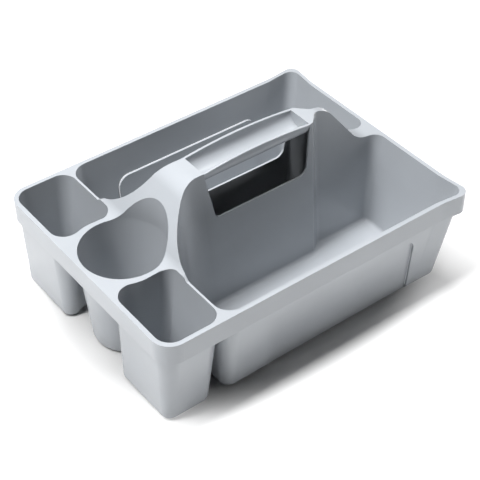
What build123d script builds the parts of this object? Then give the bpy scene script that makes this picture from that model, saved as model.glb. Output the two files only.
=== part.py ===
from build123d import *
import math
import os

# Tool storage caddy, one glossy grey moulding, divided where its own walls meet.
# Millimetres. X runs along the length with the three cups at the -X end, Y across, Z up from the table.

# ---- driving dimensions -------------------------------------------------------------------------
# Every "draft" is the lean of a wall, in mm per mm of height.
LENGTH = 400.0            # over the skirt, leaving out the flared corners
WIDTH = 299.0
RIM_Z = 117.0             # top of the flange and the deck
SHOULDER_RISE = 64.0      # shoulder top above the deck
WALL = 2.3                # moulded wall
LIP_RADIUS = 0.8          # along the lips of the grip
SKIRT_DEPTH = 25.0
SKIRT_WALL = 2.0
FLANGE = 5.0              # width of the flat rim
FLOOR_RADIUS = 4.4        # inside radius between walls and floors
CORNER_TAPER = 0.55 / RIM_Z    # plan corners tighten to about half their radius at the table
SKIRT_RADIUS = 22.0       # plain corners at the cup end
FLARE_OUT = 4.5           # how far the two far corners swell out
FLARE_RUN = 34.0          # length of edge the swelling takes
FLARE_RADIUS = 11.0
FLARE_FADE = 0.85         # share of the swelling that is gone at the table
EASE_RADIUS = 70.0        # soft bends that lead the long walls into the flared corners

TUB_LEFT_X = -123.5       # at the deck
TUB_END_X = LENGTH / 2 - FLANGE
TUB_SIDE_Y = WIDTH / 2 - FLANGE
LEFT_DRAFT = 0.057
END_DRAFT = 0.15
SIDE_DRAFT = 0.08
GRIP_HALF = 17.5          # half width of the central wall under the grip, at the shoulder top
GRIP_DRAFT = 0.07
RIDGE_HALF = 3.5          # the same beyond the jog
RIDGE_DRAFT = 0.093
JOG_X0 = 90.0             # where the central wall steps in
JOG_X1 = 104.0
NECK_RADIUS = 66.0        # large sweep beside the middle cup
TUB_FRONT_RADIUS = 20.0   # plan corners, at the deck
TUB_END_RADIUS = 13.0
JOG_NOSE_RADIUS = 5.0
JOG_FOOT_RADIUS = 9.0

CUP_X0 = -LENGTH / 2 + FLANGE    # the two corner cups, at the deck
CUP_X1 = -126.0
CUP_DRAFT = 0.12
CUP_LEFT_DRAFT = 0.031
CUP_NEAR_DRAFT = 0.05
CUP_BUMP_Y = 53.3         # where a corner cup is pressed in round the middle one
CUP_BUMP_RADIUS = 45.0
CUP_BUMP_TURNS = (1.3, 10.0)     # how far its two ends fall back, next to the tub and at the outer end
CUP_CORNER_RADII = (18.0, 17.0, 13.0, 18.0)    # far outer, far inner, near inner, near outer
ROUND_CUP_X = -148.0
ROUND_CUP_R = 47.2
ROUND_CUP_DRAFT = 0.09
ROUND_CUP_HIGH_DRAFT = 0.03    # above the deck

SWOOP_FOOT_X = -126.0     # left shoulder: foot and head of the straight slope
SWOOP_HEAD_X = -82.0
SWOOP_FOOT_R = 20.0
SWOOP_HEAD_R = 30.0
SLIDE_HEAD_X = 118.0      # right shoulder, the same going down to the end wall
SLIDE_FOOT_X = 168.0
SLIDE_R = 34.0

RIDGE_HALF_RUN = 82.0     # the raised centre fades into the deck by this far from the middle
RIDGE_CORE = 40.0         # within this it is cut by the walls alone
RIDGE_ROOF = 30.0         # height at which the fading roof meets that core

GRIP_X0 = -56.0           # where the half-pipe meets each shoulder
GRIP_X1 = 86.0
GRIP_ARCH = 4.5           # the grip bows up by this in the middle
GRIP_OUTER = 17.5         # outside radius of the half pipe
GRIP_LIP = 2.4            # height of the bead along each lip
GRIP_BEAD = 0.9           # how far the bead stands out
WINDOW_Z = 118.5          # lower edge of the hand opening
WINDOW_LOW_X0 = -43.5
WINDOW_LOW_X1 = 80.0
WINDOW_RADIUS = 11.0      # lower corner by the tub end
WINDOW_TIGHT_RADIUS = 6.6     # lower corner by the cups

PANEL_X0 = -63.5          # shallow panel on each long wall
PANEL_X1 = 134.0
PANEL_TOP = 79.0
PANEL_RADIUS = 14.0
PANEL_DEPTH = 2.6

X_SPLIT = 15.0            # the shoulders part here, in the middle of the hand opening
RING_INSET = 3.6          # the four rim lengths end this far in from the skirt's outside
DECK_REACH = 100.0        # deck pieces beyond this from the middle line belong to the rim

SHOULDER_Z = RIM_Z + SHOULDER_RISE
X_MID = 1.48              # half of what the swollen corners add at one end


# ---- plan outlines ------------------------------------------------------------------------------
def rounded_face(points, radii, z):
    """Closed outline through the points, each corner rounded by its own radius."""
    count = len(points)
    starts = []
    ends = []
    mids = []
    for i in range(count):
        corner = Vector(*points[i])
        to_last = (Vector(*points[i - 1]) - corner).normalized()
        to_next = (Vector(*points[(i + 1) % count]) - corner).normalized()
        half = to_last.get_angle(to_next) / 2
        reach = radii[i] / math.tan(math.radians(half))
        inward = (to_last + to_next).normalized()
        centre = corner + inward * (radii[i] / math.sin(math.radians(half)))
        starts.append(corner + to_last * reach)
        ends.append(corner + to_next * reach)
        mids.append(centre - inward * radii[i])
    edges = []
    for i in range(count):
        edges.append(ThreePointArc(starts[i], mids[i], ends[i]))
        edges.append(Line(ends[i], starts[(i + 1) % count]))
    return Pos(0, 0, z) * make_face(edges)


def rim_outline(inset, z):
    """Outline of the whole rim, plain at the cup end and swelling at the two far corners."""
    x0 = -LENGTH / 2 + inset
    x1 = LENGTH / 2 - inset
    y1 = WIDTH / 2 - inset
    tip_x = x1 + FLARE_OUT
    tip_y = y1 + FLARE_OUT
    points = [
        (x0, -y1), (x1 - FLARE_RUN, -y1), (tip_x, -tip_y), (x1, -y1 + FLARE_RUN),
        (x1, y1 - FLARE_RUN), (tip_x, tip_y), (x1 - FLARE_RUN, y1), (x0, y1),
    ]
    plain = SKIRT_RADIUS - inset
    tip = max(FLARE_RADIUS - inset, 3.0)
    ease = EASE_RADIUS
    radii = [plain, ease, tip, ease, ease, tip, ease, plain]
    return rounded_face(points, radii, z)


def tub_outline(side, offset, z):
    """Inside outline of one tub at height z, grown outward by offset. side is -1 front, +1 rear."""
    drop = RIM_Z - z
    left = TUB_LEFT_X + LEFT_DRAFT * drop - offset
    end = TUB_END_X - END_DRAFT * drop + offset
    far = TUB_SIDE_Y - SIDE_DRAFT * drop + offset
    grip = GRIP_HALF + GRIP_DRAFT * (SHOULDER_Z - z) - offset
    ridge = RIDGE_HALF + RIDGE_DRAFT * (SHOULDER_Z - z) - offset
    tighter = 1 - CORNER_TAPER * drop
    flare = FLARE_OUT * (1 - FLARE_FADE * drop / RIM_Z)
    points = [
        (left, far), (end - FLARE_RUN, far), (end + flare, far + flare), (end, far - FLARE_RUN),
        (end, ridge), (JOG_X1 - offset, ridge), (JOG_X0 - offset, grip), (left, grip),
    ]
    radii = [
        TUB_FRONT_RADIUS * tighter + offset, EASE_RADIUS, FLARE_RADIUS, EASE_RADIUS,
        TUB_END_RADIUS * tighter + offset, JOG_FOOT_RADIUS + offset, JOG_NOSE_RADIUS - offset,
        NECK_RADIUS + offset,
    ]
    placed = [(x, side * y) for x, y in points]
    return rounded_face(placed, radii, z)


def square_cup_outline(side, offset, z):
    """Inside outline of one corner cup at height z, grown outward by offset."""
    drop = RIM_Z - z
    left = CUP_X0 + CUP_LEFT_DRAFT * drop - offset
    right = CUP_X1 - CUP_DRAFT * drop + offset
    far = TUB_SIDE_Y - SIDE_DRAFT * drop + offset
    bump = CUP_BUMP_Y + CUP_NEAR_DRAFT * drop - offset
    inner_turn, outer_turn = CUP_BUMP_TURNS
    points = [
        (left, far), (right, far), (right, bump - inner_turn),
        ((left + right) / 2, bump), (left, bump - outer_turn),
    ]
    tighter = 1 - CORNER_TAPER * drop
    corners = [radius * tighter + offset for radius in CUP_CORNER_RADII]
    radii = [*corners[:3], CUP_BUMP_RADIUS - offset, corners[3]]
    placed = [(x, side * y) for x, y in points]
    return rounded_face(placed, radii, z)


# ---- solid volumes the moulding is made from ----------------------------------------------------
def drafted(outline, z0, z1, floor_radius):
    """Tapered block between two heights, its floor edge rounded."""
    block = loft([outline(z0), outline(z1)], ruled=True)
    floor_edges = block.faces().sort_by(Axis.Z)[0].edges()
    return fillet(floor_edges, floor_radius)


def tub_inside(side):
    plain = drafted(lambda z: tub_outline(side, 0, z), WALL, SHOULDER_Z + 12, FLOOR_RADIUS)
    return plain - panel_block(side, 0)


def tub_outside(side):
    plain = drafted(lambda z: tub_outline(side, WALL, z), 0, SHOULDER_Z, FLOOR_RADIUS + WALL)
    return plain - panel_block(side, WALL)


def square_cup_inside(side):
    return drafted(lambda z: square_cup_outline(side, 0, z), WALL, RIM_Z + 8, FLOOR_RADIUS)


def square_cup_outside(side):
    return drafted(lambda z: square_cup_outline(side, WALL, z), 0, RIM_Z + 8, FLOOR_RADIUS + WALL)


def round_cup(offset, z0, z1, floor_radius):
    """Middle cup, a cone to the deck and a steeper one above it."""
    low = ROUND_CUP_R - ROUND_CUP_DRAFT * (RIM_Z - z0) + offset
    middle = ROUND_CUP_R + offset
    high = middle + ROUND_CUP_HIGH_DRAFT * (z1 - RIM_Z)
    lower = Pos(ROUND_CUP_X, 0, (z0 + RIM_Z) / 2) * Cone(low, middle, RIM_Z - z0)
    upper = Pos(ROUND_CUP_X, 0, (RIM_Z + z1) / 2) * Cone(middle, high, z1 - RIM_Z)
    return fillet(lower.edges().sort_by(Axis.Z)[0], floor_radius) + upper


def side_face(points, radii):
    """Outline drawn in X and Z, standing at y = 0."""
    return Plane.XZ * rounded_face(points, radii, 0)


def raised_centre(drop, low):
    """Block under the swoop, shoulders and slide, its top lowered by drop and its foot at low."""
    z0 = RIM_Z - drop
    z1 = SHOULDER_Z - drop
    points = [
        (CUP_X0 + 4, low), (CUP_X0 + 4, z0), (SWOOP_FOOT_X, z0), (SWOOP_HEAD_X, z1),
        (SLIDE_HEAD_X, z1), (SLIDE_FOOT_X, z0), (TUB_END_X, z0), (TUB_END_X, low),
    ]
    radii = [1, 1, SWOOP_FOOT_R + drop, SWOOP_HEAD_R - drop, SLIDE_R - drop, SLIDE_R + drop, 1, 1]
    long_way = extrude(side_face(points, radii), RIDGE_HALF_RUN, both=True)
    roof = [
        (-RIDGE_HALF_RUN, low), (-RIDGE_HALF_RUN, z0), (-RIDGE_CORE, z0 + RIDGE_ROOF), (-RIDGE_CORE, z1 + 9),
        (RIDGE_CORE, z1 + 9), (RIDGE_CORE, z0 + RIDGE_ROOF), (RIDGE_HALF_RUN, z0), (RIDGE_HALF_RUN, low),
    ]
    cross = make_face(Plane.YZ * Polyline(*roof, close=True))
    return long_way & extrude(cross, LENGTH, both=True)


def slab(inset, top, bottom):
    return extrude(rim_outline(inset, bottom), top - bottom)


def all_outside():
    pieces = [tub_outside(side) for side in (-1, 1)]
    pieces += [square_cup_outside(side) for side in (-1, 1)]
    pieces.append(round_cup(WALL, 0, SHOULDER_Z, FLOOR_RADIUS + WALL))
    return pieces


def all_inside():
    pieces = [tub_inside(side) for side in (-1, 1)]
    pieces += [square_cup_inside(side) for side in (-1, 1)]
    pieces.append(round_cup(0, WALL, SHOULDER_Z + 5, FLOOR_RADIUS))
    return pieces


# ---- shallow panel on each long wall ------------------------------------------------------------
def panel_block(side, offset):
    """Everything outside the set-in panel face, to be taken off a tub volume grown by offset."""
    points = [(PANEL_X0, -5), (PANEL_X1, -5), (PANEL_X1, PANEL_TOP), (PANEL_X0, PANEL_TOP)]
    front = extrude(side_face(points, [1, 1, PANEL_RADIUS, PANEL_RADIUS]), LENGTH, both=True)
    face_y = TUB_SIDE_Y + offset - PANEL_DEPTH
    low_y = face_y - SIDE_DRAFT * (RIM_Z + 5)
    high_y = face_y - SIDE_DRAFT * (RIM_Z - 100)
    wedge = [(low_y, -5), (WIDTH, -5), (WIDTH, 100), (high_y, 100)]
    placed = [(side * y, z) for y, z in wedge]
    beyond = extrude(Plane.YZ * make_face(Polyline(*placed, close=True)), LENGTH, both=True)
    return front & beyond


# ---- handle and hand opening --------------------------------------------------------------------
def hand_opening():
    """Trapezoid cut right through both skins of the central wall and the sheet above it."""
    above = SHOULDER_Z + 20
    points = [
        (WINDOW_LOW_X0, WINDOW_Z), (WINDOW_LOW_X1, WINDOW_Z),
        (GRIP_X1, SHOULDER_Z), (GRIP_X1, above), (GRIP_X0, above), (GRIP_X0, SHOULDER_Z),
    ]
    radii = [WINDOW_TIGHT_RADIUS, WINDOW_RADIUS, 0.5, 0.5, 0.5, 0.5]
    return extrude(side_face(points, radii), 60, both=True)


def pipe_section(radius, top):
    """Upright U drawn in Y and Z, closed across its top."""
    centre = SHOULDER_Z - 1
    edges = [
        Line((-radius, top), (-radius, centre)),
        ThreePointArc((-radius, centre), (0, centre - radius), (radius, centre)),
        Line((radius, centre), (radius, top)),
        Line((radius, top), (-radius, top)),
    ]
    return Plane.YZ * make_face(edges)


def half_pipe(radius, x0, x1, top):
    return Pos(x0, 0, 0) * extrude(pipe_section(radius, top), x1 - x0)


def handle_grip():
    """Open half pipe whose two lips bow up in the middle, with a small bead under each lip."""
    top = SHOULDER_Z + GRIP_ARCH + 5
    middle = (GRIP_X0 + GRIP_X1) / 2
    half = (GRIP_X1 - GRIP_X0) / 2
    arch_radius = (half ** 2 + GRIP_ARCH ** 2) / (2 * GRIP_ARCH)

    def under_arch(lower):
        centre = SHOULDER_Z + GRIP_ARCH - arch_radius - lower
        return Pos(middle, 0, centre) * Rot(90, 0, 0) * Cylinder(arch_radius, 80)

    tray = half_pipe(GRIP_OUTER, GRIP_X0, GRIP_X1, top) & under_arch(0)
    bead = half_pipe(GRIP_OUTER + GRIP_BEAD, GRIP_X0, GRIP_X1, top) & under_arch(0)
    bead = bead - under_arch(GRIP_LIP)
    grip = tray + bead - half_pipe(GRIP_OUTER - WALL, GRIP_X0 - 1, GRIP_X1 + 1, top + 1)
    lips = []
    for side in (-1, 1):
        for lip_y in (GRIP_OUTER - WALL, GRIP_OUTER + GRIP_BEAD):
            lips.append((middle, side * lip_y, SHOULDER_Z + GRIP_ARCH))
    return round_over(grip, *lips)


def end_caps():
    """Upright walls that close the two shoulders where the half pipe meets them."""
    radius = GRIP_OUTER - WALL / 2
    left = half_pipe(radius, GRIP_X0 - WALL, GRIP_X0, SHOULDER_Z)
    right = half_pipe(radius, GRIP_X1, GRIP_X1 + WALL, SHOULDER_Z)
    return [left, right]


# ---- the moulding, then its sections ------------------------------------------------------------
def whole_body(outside, inside):
    low = RIM_Z - SKIRT_DEPTH
    cap = slab(0, RIM_Z, low) + raised_centre(0, low)
    hollow = slab(SKIRT_WALL, RIM_Z - WALL, low - 1) + raised_centre(WALL, low - 1)
    under_top = slab(0, RIM_Z, -1) + raised_centre(0, -1)
    body = cap - hollow
    for piece in outside:
        body = body + (piece & under_top)
    for piece in inside:
        body = body - piece
    body = body - hand_opening()
    for cap_wall in end_caps():
        body = body + cap_wall
    return body


def round_over(body, *points):
    """Rounds the edge that passes nearest each point, and the edges that run smoothly on from it."""
    edges = body.edges()
    chosen = [min(edges, key=lambda edge: edge.distance_to(Vector(*point))) for point in points]
    return body.fillet(LIP_RADIUS, chosen).solids()[0]


def half_space(x0, x1, z0, z1):
    return Pos((x0 + x1) / 2, 0, (z0 + z1) / 2) * Box(x1 - x0, 2 * WIDTH, z1 - z0)


def corner_sector(side):
    """Plan wedge that takes one length of the rim, meeting its neighbours on the corner diagonals."""
    x = LENGTH
    inner_x = LENGTH / 2 - WIDTH / 2
    wedges = {
        "left": [(-inner_x, 0), (-x, x - inner_x), (-x, -x + inner_x)],
        "right": [(inner_x, 0), (x, -x + inner_x), (x, x - inner_x)],
        "front": [(-inner_x, 0), (-x, -x + inner_x), (x, -x + inner_x), (inner_x, 0)],
    }
    return extrude(make_face(Polyline(*wedges[side], close=True)), RIM_Z + 10)


def joined(front):
    """A section that straddles the middle line, from its front half."""
    return front + mirror(front, about=Plane.XZ)


def front_deck(rest, ring):
    """The flat deck in front of the middle line: its named pieces, and the small fillings by the rim."""
    decks = {}
    fillings = []
    for piece in (rest - ring).solids():
        if abs(piece.center().Y) > DECK_REACH:
            fillings.append(piece)
        elif piece.center().X > 0:
            decks["end"] = piece
        else:
            decks["left"] = piece
    return decks, fillings


def split_body():
    """Sections of the front half, mirrored to the back or joined across the middle line."""
    outside = all_outside()
    tub, cup, middle_cup = outside[0], outside[2], outside[4]
    body = whole_body(outside, all_inside())
    rest = body & (Pos(0, -WIDTH, 0) * Box(3 * LENGTH, 2 * WIDTH, 3 * LENGTH))
    sections = {"cup_middle": joined(rest & middle_cup)}
    paired = {("cup_front_left", "cup_back_left"): rest & cup}
    rest = rest - cup - middle_cup
    upper = half_space(-300, 300, WINDOW_Z, 300)
    grip_room = half_pipe(GRIP_OUTER + GRIP_BEAD, GRIP_X0, GRIP_X1, SHOULDER_Z + 20)
    above = (rest & upper) - grip_room
    sections["shoulder_left"] = joined(above & half_space(-300, X_SPLIT, 0, 300))
    sections["shoulder_right"] = joined(above & half_space(X_SPLIT, 300, 0, 300))
    rest = rest - upper
    paired[("tub_front", "tub_rear")] = rest & tub
    rest = rest - tub
    ring = slab(-1, RIM_Z + 1, 0) - slab(RING_INSET, RIM_Z + 2, -1)
    decks, fillings = front_deck(rest, ring)
    sections["deck_end"] = joined(decks["end"])
    paired[("deck_front_left", "deck_back_left")] = decks["left"]
    rim = rest & ring
    for filling in fillings:
        rim = rim + filling
    sections["rim_left"] = joined(rim & corner_sector("left"))
    sections["rim_right"] = joined(rim & corner_sector("right"))
    paired[("rim_front", "rim_back")] = rim & corner_sector("front")
    for (front_name, back_name), section in paired.items():
        sections[front_name] = section
        sections[back_name] = mirror(section, about=Plane.XZ)
    sections["handle_grip"] = handle_grip()
    return sections


def main():
    os.makedirs("parts", exist_ok=True)
    for name, section in split_body().items():
        section = Pos(-X_MID, 0, 0) * section
        section.label = name
        export_step(section, os.path.join("parts", name + ".step"))


main()
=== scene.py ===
import math

import bpy
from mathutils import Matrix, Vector


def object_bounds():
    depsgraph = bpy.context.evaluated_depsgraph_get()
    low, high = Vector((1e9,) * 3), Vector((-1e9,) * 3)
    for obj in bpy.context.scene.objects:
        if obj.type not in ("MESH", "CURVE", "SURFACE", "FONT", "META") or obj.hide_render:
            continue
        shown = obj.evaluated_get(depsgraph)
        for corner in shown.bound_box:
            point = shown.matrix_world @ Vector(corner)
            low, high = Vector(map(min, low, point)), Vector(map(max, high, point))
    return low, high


# Lengths are in metres, angles in degrees and light powers in watts.
PLASTIC = (0.36, 0.38, 0.405, 1)        # cool grey
PLASTIC_ROUGHNESS = 0.2                 # plain value on the socket; the render uses GLOSS_RANGE
PLASTIC_IOR = 1.52
NOISE_SPAN = (0.3, 0.7)                 # the middle part of a noise's range, which gets stretched
FLOW_TINT = (0.96, 1.04)                # brightness of the flow marks, darkest and lightest
GLOSS_RANGE = (0.13, 0.24)              # roughness of the shiniest and the dullest spots

FLOOR_SIZE = 20
FLOOR_DROP = 0.0003                     # how far the floor lies under the caddy
FLOOR_GREY = (0.6, 0.6, 0.6, 1)
FLOOR_ROUGHNESS = 0.9
FLOOR_GLOW = 0.42                       # strength of the floor's glow, clear of the caddy
DARK_OVAL = (0.235, 0.185)              # half length and half width of the unlit oval round the caddy
OVAL_FADE = (0.85, 1.15)                # multiples of the oval where the glow starts and is full

WHITE = (1, 1, 1, 1)
ROOM = 0.01                             # strength of the white light from all round
OVERHEAD = 80.0
CUP_END = 8.0
FRONT_RIGHT = 3.0

LENS = 98.187                           # focal length in millimetres
SENSOR = 36                             # sensor width in millimetres
AZIMUTH = -37.45                        # turned from straight in front towards the cup end
ELEVATION = 41.32
DISTANCE = 1.41868
TARGET = Vector((-0.01994, -0.03021, 0.08))

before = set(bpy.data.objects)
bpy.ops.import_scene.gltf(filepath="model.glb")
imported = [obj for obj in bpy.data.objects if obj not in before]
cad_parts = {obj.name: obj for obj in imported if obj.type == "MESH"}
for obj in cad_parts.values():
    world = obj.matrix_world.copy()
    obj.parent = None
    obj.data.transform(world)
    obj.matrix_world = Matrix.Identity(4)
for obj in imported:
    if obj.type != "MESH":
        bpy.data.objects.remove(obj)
cad_low, cad_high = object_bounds()


# ---- plastic ------------------------------------------------------------------------------------
def noise(tree, place, scale, detail):
    """Noise that is fixed to the plastic."""
    texture = tree.nodes.new("ShaderNodeTexNoise")
    texture.inputs["Scale"].default_value = scale
    texture.inputs["Detail"].default_value = detail
    tree.links.new(place.outputs["Object"], texture.inputs["Vector"])
    return texture.outputs["Fac"]


def stretched(tree, value, lowest, highest):
    """The middle of a noise's range, stretched to run from lowest to highest."""
    stretch = tree.nodes.new("ShaderNodeMapRange")
    stretch.inputs["From Min"].default_value = NOISE_SPAN[0]
    stretch.inputs["From Max"].default_value = NOISE_SPAN[1]
    stretch.inputs["To Min"].default_value = lowest
    stretch.inputs["To Max"].default_value = highest
    tree.links.new(value, stretch.inputs["Value"])
    return stretch.outputs["Result"]


def bump(tree, height, strength, distance):
    """Fine relief that follows a noise."""
    relief = tree.nodes.new("ShaderNodeBump")
    relief.inputs["Strength"].default_value = strength
    relief.inputs["Distance"].default_value = distance
    tree.links.new(height, relief.inputs["Height"])
    return relief


def moulded_plastic():
    """Glossy cool-grey moulded plastic: slightly uneven gloss, faint flow marks and orange peel."""
    material = bpy.data.materials.new("moulded_plastic")
    material.use_nodes = True
    tree = material.node_tree
    shader = tree.nodes["Principled BSDF"]
    shader.inputs["Base Color"].default_value = PLASTIC
    shader.inputs["Roughness"].default_value = PLASTIC_ROUGHNESS
    shader.inputs["IOR"].default_value = PLASTIC_IOR
    place = tree.nodes.new("ShaderNodeTexCoord")

    flow_marks = noise(tree, place, scale=9, detail=3)
    colour = tree.nodes.new("ShaderNodeHueSaturation")
    colour.inputs["Color"].default_value = PLASTIC
    tree.links.new(stretched(tree, flow_marks, *FLOW_TINT), colour.inputs["Value"])
    tree.links.new(colour.outputs["Color"], shader.inputs["Base Color"])

    wear = noise(tree, place, scale=28, detail=5)
    tree.links.new(stretched(tree, wear, *GLOSS_RANGE), shader.inputs["Roughness"])

    grain = noise(tree, place, scale=900, detail=2)
    waves = noise(tree, place, scale=30, detail=1)
    fine = bump(tree, grain, strength=0.04, distance=0.0002)
    broad = bump(tree, waves, strength=0.12, distance=0.001)
    tree.links.new(fine.outputs["Normal"], broad.inputs["Normal"])
    tree.links.new(broad.outputs["Normal"], shader.inputs["Normal"])
    return material


plastic = moulded_plastic()
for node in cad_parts.values():
    node.data.materials.clear()
    node.data.materials.append(plastic)


# ---- floor, light and camera --------------------------------------------------------------------
def glowing_white():
    """Matt white that glows everywhere but in an oval under and round the caddy."""
    material = bpy.data.materials.new("floor_white")
    material.use_nodes = True
    tree = material.node_tree
    shader = tree.nodes["Principled BSDF"]
    shader.inputs["Base Color"].default_value = FLOOR_GREY
    shader.inputs["Roughness"].default_value = FLOOR_ROUGHNESS
    shader.inputs["Specular IOR Level"].default_value = 0.0
    shader.inputs["Emission Color"].default_value = WHITE

    place = tree.nodes.new("ShaderNodeTexCoord")
    shrink = tree.nodes.new("ShaderNodeVectorMath")
    shrink.operation = "MULTIPLY"
    shrink.inputs[1].default_value = (1 / DARK_OVAL[0], 1 / DARK_OVAL[1], 0)
    tree.links.new(place.outputs["Object"], shrink.inputs[0])
    reach = tree.nodes.new("ShaderNodeVectorMath")
    reach.operation = "LENGTH"
    tree.links.new(shrink.outputs["Vector"], reach.inputs[0])
    fade = tree.nodes.new("ShaderNodeMapRange")
    fade.interpolation_type = "SMOOTHSTEP"
    fade.inputs["From Min"].default_value = OVAL_FADE[0]
    fade.inputs["From Max"].default_value = OVAL_FADE[1]
    fade.inputs["To Max"].default_value = FLOOR_GLOW
    tree.links.new(reach.outputs["Value"], fade.inputs["Value"])
    tree.links.new(fade.outputs["Result"], shader.inputs["Emission Strength"])
    return material


def pale_floor():
    """Wide white floor that stays white and lights the walls from below."""
    bpy.ops.mesh.primitive_plane_add(size=FLOOR_SIZE, location=(0, 0, cad_low.z - FLOOR_DROP))
    floor = bpy.context.object
    floor.name = "floor"
    floor.data.materials.append(glowing_white())


def softbox(name, place, aim, width, height, power):
    """Rectangular area light at place that points at aim."""
    light = bpy.data.lights.new(name, "AREA")
    light.shape = "RECTANGLE"
    light.size = width
    light.size_y = height
    light.energy = power
    lamp = bpy.data.objects.new(name, light)
    bpy.context.scene.collection.objects.link(lamp)
    lamp.location = place
    lamp.rotation_euler = (Vector(aim) - Vector(place)).to_track_quat("-Z", "Y").to_euler()


def studio():
    """Dim room with a long softbox overhead and weak ones at the cup end and low at the front right."""
    scene = bpy.context.scene
    scene.view_settings.view_transform = "Standard"
    world = bpy.data.worlds.new("studio")
    world.use_nodes = True
    background = world.node_tree.nodes["Background"]
    background.inputs["Color"].default_value = WHITE
    background.inputs["Strength"].default_value = ROOM
    scene.world = world
    # The overhead box points almost straight down, with its long side along x.
    softbox("overhead", (-0.5, 0.16, 1.8), (-0.5, 0.159, 0), 2.3, 0.36, OVERHEAD)
    softbox("cup_end", (-1.4, 0.3, 1.5), (0, 0, 0.05), 1.0, 1.0, CUP_END)
    softbox("front_right", (0.9, -1.0, 0.3), (0.12, -0.14, 0.05), 0.6, 0.4, FRONT_RIGHT)


def camera():
    """Long lens high up in front of the cup end, looking down at the middle of the caddy."""
    camera_data = bpy.data.cameras.new("camera")
    camera_data.sensor_width = SENSOR
    camera_data.lens = LENS
    eye = bpy.data.objects.new("camera", camera_data)
    bpy.context.scene.collection.objects.link(eye)
    azimuth = math.radians(AZIMUTH)
    elevation = math.radians(ELEVATION)
    back = Vector((
        math.sin(azimuth) * math.cos(elevation),
        -math.cos(azimuth) * math.cos(elevation),
        math.sin(elevation),
    ))
    eye.location = TARGET + back * DISTANCE
    eye.rotation_euler = (-back).to_track_quat("-Z", "Y").to_euler()
    bpy.context.scene.camera = eye


pale_floor()
studio()
camera()
